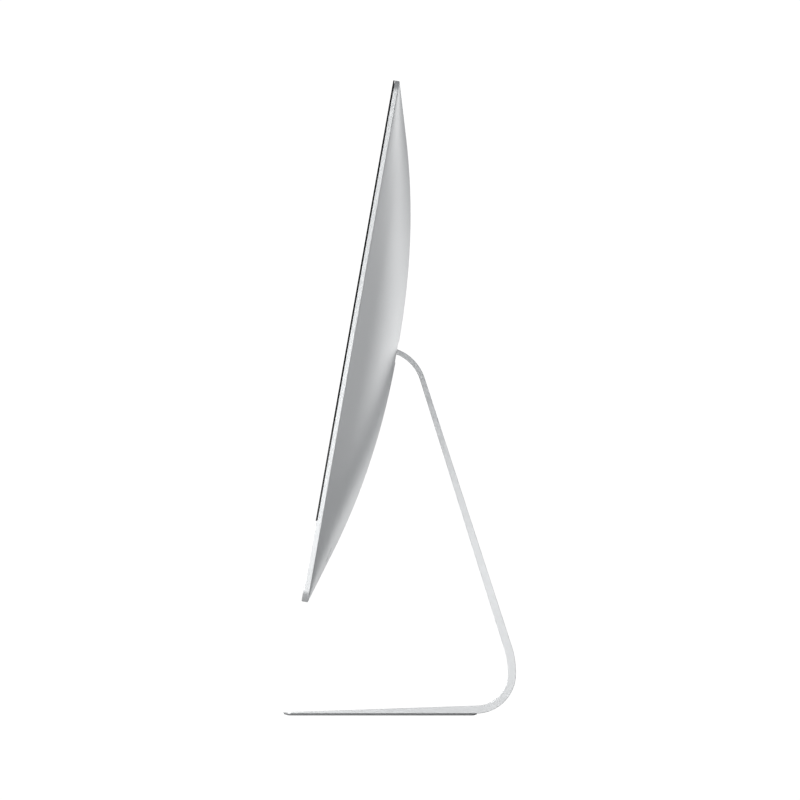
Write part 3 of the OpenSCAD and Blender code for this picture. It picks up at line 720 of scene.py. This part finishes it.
def map_range(tree, value, from_low, from_high, to_low, to_high, kind="LINEAR"):
    """Value carried from one range to another and held at its ends."""
    node = tree.nodes.new("ShaderNodeMapRange")
    node.interpolation_type = kind
    node.inputs["From Min"].default_value = from_low
    node.inputs["From Max"].default_value = from_high
    node.inputs["To Min"].default_value = to_low
    node.inputs["To Max"].default_value = to_high
    tree.links.new(value, node.inputs["Value"])
    return node.outputs["Result"]


def axes_of(tree, vector):
    """The X, Y and Z outputs of a vector."""
    node = tree.nodes.new("ShaderNodeSeparateXYZ")
    tree.links.new(vector, node.inputs[0])
    return node.outputs


def mix_colours(tree, factor, a, b):
    """Colour a where the factor is 0, and b where it is 1."""
    node = tree.nodes.new("ShaderNodeMix")
    node.data_type = "RGBA"
    tree.links.new(factor, node.inputs["Factor"])
    tree.links.new(a, node.inputs["A"])
    tree.links.new(b, node.inputs["B"])
    return node.outputs["Result"]


def noise(tree, coords, scale, detail, rough):
    """Noise in the object's own space."""
    node = tree.nodes.new("ShaderNodeTexNoise")
    node.inputs["Scale"].default_value = scale
    node.inputs["Detail"].default_value = detail
    node.inputs["Roughness"].default_value = rough
    tree.links.new(coords.outputs["Object"], node.inputs["Vector"])
    return node.outputs["Fac"]


def two_tones(tree, factor, a, b):
    """Colour between two tones over the middle of a noise's range."""
    node = tree.nodes.new("ShaderNodeValToRGB")
    for stop, place, colour in zip(node.color_ramp.elements, (0.3, 0.7), (a, b)):
        stop.position = place
        stop.color = (*colour, 1)
    tree.links.new(factor, node.inputs["Fac"])
    return node.outputs["Color"]


def roughness(tree, shader, value, low, high):
    """Roughness that varies with a noise."""
    tree.links.new(map_range(tree, value, 0.25, 0.75, low, high), shader.inputs["Roughness"])


def bump(tree, shader, height, strength, distance):
    """Fine relief in the shader's normal."""
    node = tree.nodes.new("ShaderNodeBump")
    node.inputs["Strength"].default_value = strength
    node.inputs["Distance"].default_value = distance
    tree.links.new(height, node.inputs["Height"])
    tree.links.new(node.outputs["Normal"], shader.inputs["Normal"])


# ---------------------------------------------------------------- materials
# The screen's visible area and the camera's lens, in metres in the panel's axes.
SCREEN_HALF_X = 0.2380
SCREEN_HALF_S = 0.1339
SCREEN_MID_S = 0.2175
LENS_S = 0.3638
LENS_R = 0.0033
LENS_SPAN = 0.0040
# Rings of the lens from its centre out, as a share of the span, and how light they are.
LENS_RINGS = ((0.30, 0.02), (0.40, 0.004), (0.58, 0.004), (0.64, 0.075), (0.74, 0.05), (0.80, 0.006))


def blasted_aluminium():
    """Bead-blasted metal: a fine grain over faint clouds."""
    material, tree, shader, coords = new_material("blasted_aluminium")
    shader.inputs["Metallic"].default_value = 1.0
    grain = noise(tree, coords, scale=2600, detail=2.0, rough=0.6)
    cloud = noise(tree, coords, scale=14, detail=4.0, rough=0.55)
    both = math_node(tree, "MULTIPLY_ADD", grain, 0.35, math_node(tree, "MULTIPLY", cloud, 0.65))
    colour = two_tones(tree, both, (0.765, 0.775, 0.78), (0.80, 0.81, 0.815))
    tree.links.new(colour, shader.inputs["Base Color"])
    roughness(tree, shader, both, 0.36, 0.42)
    bump(tree, shader, grain, strength=0.07, distance=0.00006)
    return material


def plain(name, dark, light, scale, low, high, metallic=0.0, relief=0.15):
    """Moulded, cast or sheet surface with one noise for its colour, roughness and relief."""
    material, tree, shader, coords = new_material(name)
    shader.inputs["Metallic"].default_value = metallic
    mottle = noise(tree, coords, scale, detail=4.0, rough=0.6)
    tree.links.new(two_tones(tree, mottle, dark, light), shader.inputs["Base Color"])
    roughness(tree, shader, mottle, low, high)
    bump(tree, shader, mottle, relief, distance=0.0001)
    return material


def inside_edge(tree, beyond, soft):
    """1 where the distance beyond an edge is below 0, 0 where it is above, with a soft change."""
    return math_node(tree, "SUBTRACT", 1.0, map_range(tree, beyond, -soft, soft, 0.0, 1.0))


def lens_colour(tree, away):
    """Rings of the camera's lens over the distance from its centre."""
    node = tree.nodes.new("ShaderNodeValToRGB")
    stops = node.color_ramp.elements
    stops[0].position = 0.0
    stops[0].color = (0.05, 0.06, 0.11, 1)
    stops[1].position = 0.22
    stops[1].color = (0.004, 0.004, 0.006, 1)
    for place, tone in LENS_RINGS:
        stops.new(place).color = (tone, tone, tone * 1.15, 1)
    tree.links.new(math_node(tree, "DIVIDE", away, LENS_SPAN), node.inputs["Fac"])
    return node.outputs["Color"]


def black_cover_glass():
    """Clear cover glass over a black printed border, the dark screen and the camera's lens."""
    material, tree, shader, coords = new_material("black_cover_glass")
    place = tree.nodes.new("ShaderNodeMapping")
    place.vector_type = "TEXTURE"
    place.inputs["Location"].default_value = (0, PANEL_Y * MM, PANEL_Z * MM)
    place.inputs["Rotation"].default_value = (math.radians(-LEAN), 0, 0)
    tree.links.new(coords.outputs["Object"], place.inputs["Vector"])
    axes = axes_of(tree, place.outputs["Vector"])
    x = axes["X"]
    s = axes["Z"]
    beyond_x = math_node(tree, "SUBTRACT", math_node(tree, "ABSOLUTE", x), SCREEN_HALF_X)
    up = math_node(tree, "ABSOLUTE", math_node(tree, "SUBTRACT", s, SCREEN_MID_S))
    beyond_s = math_node(tree, "SUBTRACT", up, SCREEN_HALF_S)
    on_screen = inside_edge(tree, math_node(tree, "MAXIMUM", beyond_x, beyond_s), 0.0002)
    x_squared = math_node(tree, "POWER", x, 2.0)
    s_squared = math_node(tree, "POWER", math_node(tree, "SUBTRACT", s, LENS_S), 2.0)
    away = math_node(tree, "SQRT", math_node(tree, "ADD", x_squared, s_squared))
    on_lens = inside_edge(tree, math_node(tree, "SUBTRACT", away, LENS_R), 0.0001)
    smear = noise(tree, coords, scale=7, detail=5.0, rough=0.6)
    fine = noise(tree, coords, scale=3200, detail=1.0, rough=0.5)
    border = two_tones(tree, smear, (0.0045, 0.0045, 0.005), (0.0065, 0.0065, 0.007))
    screen = two_tones(tree, fine, (0.014, 0.0145, 0.017), (0.020, 0.0205, 0.024))
    behind = mix_colours(tree, on_screen, border, screen)
    tree.links.new(mix_colours(tree, on_lens, behind, lens_colour(tree, away)), shader.inputs["Base Color"])
    shader.inputs["Metallic"].default_value = 0.0
    shader.inputs["IOR"].default_value = 1.52
    roughness(tree, shader, smear, 0.045, 0.085)
    return material


# plain() takes two tones, the noise's scale, the lowest and highest roughness, and metallic or relief.
MATERIALS = {
    "aluminium_shell": blasted_aluminium(),
    "cover_glass": black_cover_glass(),
    "display_black": plain("display_black", (0.02, 0.02, 0.023), (0.03, 0.03, 0.034), 60, 0.2, 0.32),
    "adhesive": plain("adhesive", (0.03, 0.03, 0.03), (0.06, 0.06, 0.06), 300, 0.6, 0.8),
    "steel_sheet": plain("steel_sheet", (0.55, 0.56, 0.58), (0.66, 0.67, 0.69), 180, 0.28, 0.4, 1.0),
    "board_green": plain("board_green", (0.012, 0.10, 0.05), (0.02, 0.14, 0.07), 240, 0.35, 0.5),
    "chip_grey": plain("chip_grey", (0.05, 0.05, 0.055), (0.09, 0.09, 0.1), 400, 0.4, 0.6),
    "plastic_black": plain("plastic_black", (0.018, 0.018, 0.02), (0.03, 0.03, 0.032), 900, 0.42, 0.58),
    "plastic_cream": plain("plastic_cream", (0.6, 0.57, 0.46), (0.68, 0.65, 0.54), 500, 0.4, 0.55),
    "copper": plain("copper", (0.72, 0.36, 0.2), (0.82, 0.45, 0.27), 150, 0.25, 0.42, 1.0),
    "fin_aluminium": plain("fin_aluminium", (0.72, 0.73, 0.74), (0.8, 0.81, 0.82), 600, 0.3, 0.42, 1.0),
    "contact_brass": plain("contact_brass", (0.75, 0.58, 0.28), (0.82, 0.66, 0.36), 400, 0.22, 0.36, 1.0),
    "steel_dark": plain("steel_dark", (0.2, 0.2, 0.21), (0.3, 0.3, 0.31), 500, 0.35, 0.5, 1.0),
    "steel_bright": plain("steel_bright", (0.6, 0.6, 0.62), (0.7, 0.7, 0.72), 500, 0.2, 0.32, 1.0),
    "rubber_black": plain("rubber_black", (0.24, 0.24, 0.245), (0.32, 0.32, 0.325), 1500, 0.65, 0.85,
                          relief=0.3),
    "cable_black": plain("cable_black", (0.02, 0.02, 0.02), (0.035, 0.035, 0.035), 1200, 0.5, 0.65),
}


def give_material(ob, slot):
    """Gives the object the one material of its slot."""
    ob.data.materials.clear()
    ob.data.materials.append(MATERIALS[slot])


for part in frame["record"]["subparts"]:
    give_material(NODES[part["node"]], part["material_slot"])
give_material(shell, "aluminium_shell")
give_material(glass, "cover_glass")
give_material(stand, "aluminium_shell")
give_material(pad, "rubber_black")


# ---------------------------------------------------------------- floor
FLOOR_HALF = 3
FLOOR_Z = -0.0002
# How much the floor lights itself for the camera, so that it looks white in the picture.
FLOOR_WHITE = 0.57
# The far floor's glow in reflections, strongest in the direction -X as seen from this place.
GLOW_FROM = (0.3, 0.0, 0.0)
GLOW = 1.3
GLOW_EDGE = -0.76
GLOW_FULL = -0.99
GLOW_FAR = -1.6


def floor_paper():
    """Pale paper: white to the camera, greyer to reflections, with a glow far out in -X."""
    material, tree, shader, coords = new_material("floor_paper")
    seen = tree.nodes.new("ShaderNodeLightPath").outputs["Is Camera Ray"]
    fibre = noise(tree, coords, scale=30, detail=4.0, rough=0.5)
    reflected = two_tones(tree, fibre, (0.60, 0.60, 0.60), (0.63, 0.63, 0.63))
    direct = two_tones(tree, fibre, (0.84, 0.84, 0.84), (0.87, 0.87, 0.87))
    tree.links.new(mix_colours(tree, seen, reflected, direct), shader.inputs["Base Color"])
    shader.inputs["Roughness"].default_value = 0.9
    shift = tree.nodes.new("ShaderNodeVectorMath")
    shift.operation = "SUBTRACT"
    shift.inputs[1].default_value = GLOW_FROM
    tree.links.new(coords.outputs["Object"], shift.inputs[0])
    bearing = tree.nodes.new("ShaderNodeVectorMath")
    bearing.operation = "NORMALIZE"
    tree.links.new(shift.outputs["Vector"], bearing.inputs[0])
    towards = axes_of(tree, bearing.outputs["Vector"])["X"]
    fade = map_range(tree, towards, GLOW_EDGE, GLOW_FULL, 0.0, GLOW, "SMOOTHSTEP")
    across = axes_of(tree, coords.outputs["Object"])["X"]
    far_out = map_range(tree, across, 0.0, GLOW_FAR, 0.0, 1.0, "SMOOTHSTEP")
    glow = math_node(tree, "MULTIPLY", fade, far_out)
    shader.inputs["Emission Color"].default_value = (1, 1, 1, 1)
    strength = math_node(tree, "MULTIPLY_ADD", seen, FLOOR_WHITE, glow)
    tree.links.new(strength, shader.inputs["Emission Strength"])
    return material


corners = [(x * FLOOR_HALF, y * FLOOR_HALF, 0) for x, y in ((-1, -1), (1, -1), (1, 1), (-1, 1))]
floor = mesh_object("floor", corners, [(0, 1, 2, 3)], in_panel=False, scale=1.0)
floor.location.z = FLOOR_Z
floor.data.materials.append(floor_paper())

# ---------------------------------------------------------------- studio
SHADE = (0.245, 0.251, 0.259, 1)
BRIGHT = (2.15, 2.15, 2.15, 1)
WHITE = 1.05
# Each bright part of the room comes in between two values of a direction, from one share to another.
WALL_SIDE = (-0.62, -1.0, 0.0, 1.0)
WALL_LOW = (-0.08, 0.025, 1.0, 0.0)
FRONT_END = (-0.45, -1.0, 0.0, 0.34)
BACK_END = (0.72, 1.0, 0.0, 0.30)


def studio_world():
    """White to the camera. To reflections, a grey room with a bright low wall in -X and two soft ends."""
    world = bpy.data.worlds.new("studio")
    scene.world = world
    world.use_nodes = True
    tree = world.node_tree
    room = tree.nodes["Background"]
    axes = axes_of(tree, tree.nodes.new("ShaderNodeTexCoord").outputs["Generated"])
    side = map_range(tree, axes["X"], *WALL_SIDE)
    low = map_range(tree, axes["Z"], *WALL_LOW, "SMOOTHSTEP")
    front = map_range(tree, axes["Y"], *FRONT_END, "SMOOTHSTEP")
    back = map_range(tree, axes["Y"], *BACK_END, "SMOOTHSTEP")
    wall = math_node(tree, "MULTIPLY", side, low)
    light = math_node(tree, "MAXIMUM", math_node(tree, "MAXIMUM", wall, front), back)
    grey = tree.nodes.new("ShaderNodeValToRGB")
    grey.color_ramp.elements[0].color = SHADE
    grey.color_ramp.elements[1].color = BRIGHT
    tree.links.new(light, grey.inputs["Fac"])
    tree.links.new(grey.outputs["Color"], room.inputs["Color"])
    room.inputs["Strength"].default_value = 1.0
    white = tree.nodes.new("ShaderNodeBackground")
    white.inputs["Color"].default_value = (1, 1, 1, 1)
    white.inputs["Strength"].default_value = WHITE
    pick = tree.nodes.new("ShaderNodeMixShader")
    tree.links.new(tree.nodes.new("ShaderNodeLightPath").outputs["Is Camera Ray"], pick.inputs[0])
    tree.links.new(room.outputs[0], pick.inputs[1])
    tree.links.new(white.outputs[0], pick.inputs[2])
    tree.links.new(pick.outputs[0], tree.nodes["World Output"].inputs["Surface"])


def softbox(name, place, target, size_x, size_y, power):
    """Rectangular lamp aimed at a target, which the camera doesn't see."""
    lamp = bpy.data.lights.new(name, "AREA")
    lamp.shape = "RECTANGLE"
    lamp.size = size_x
    lamp.size_y = size_y
    lamp.energy = power
    ob = bpy.data.objects.new(name, lamp)
    scene.collection.objects.link(ob)
    ob.location = place
    ob.visible_camera = False
    ob.rotation_euler = (Vector(target) - Vector(place)).to_track_quat("-Z", "Y").to_euler()


studio_world()
# Name, place, target, width, height and power.
softbox("near_side", (2.1, -1.35, 0.90), (0, 0, 0.22), 1.5, 1.2, 40)
softbox("near_high", (0.95, -0.42, 0.52), (0, 0, 0.38), 0.4, 0.4, 1.7)
softbox("near_low", (0.90, 0.085, 0.085), (0, 0.07, 0.08), 0.30, 0.26, 0.34)
softbox("overhead", (0.2, -0.6, 2.4), (0, 0, 0.2), 1.6, 1.6, 1.5)
softbox("rear_high", (-0.6, 2.3, 2.2), (0, 0, 0.25), 1.8, 1.2, 6)
